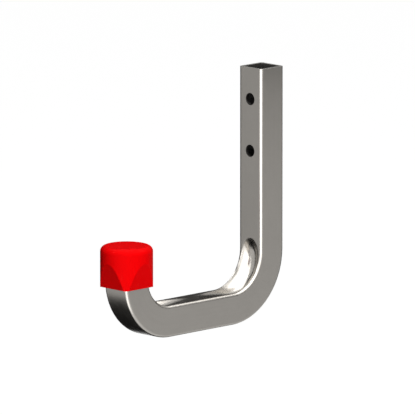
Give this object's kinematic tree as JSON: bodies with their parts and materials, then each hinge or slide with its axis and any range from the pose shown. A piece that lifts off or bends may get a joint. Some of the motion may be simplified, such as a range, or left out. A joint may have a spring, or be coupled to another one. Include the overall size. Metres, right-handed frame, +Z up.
{
  "type": "square wall hook",
  "caption": "J-shaped wall hook bent from square steel tube, with screw holes in its upright and a red plastic cap on its tip.",
  "frame": {"origin": "on the wall plane at the back of the upright, midway between the two screw holes", "axes": "+Z up along the upright, +Y into the wall so the arm comes out towards -Y, +X sideways, with X = 0 the plane of symmetry"},
  "size_m": [0.033, 0.1445, 0.16],
  "materials": {
    "tube_steel": "satin",
    "cap_plastic": "satin moulded"
  },
  "bodies": {
    "root": {"hook_tube": "tube_steel", "end_cap": "cap_plastic"}
  },
  "joints": []
}
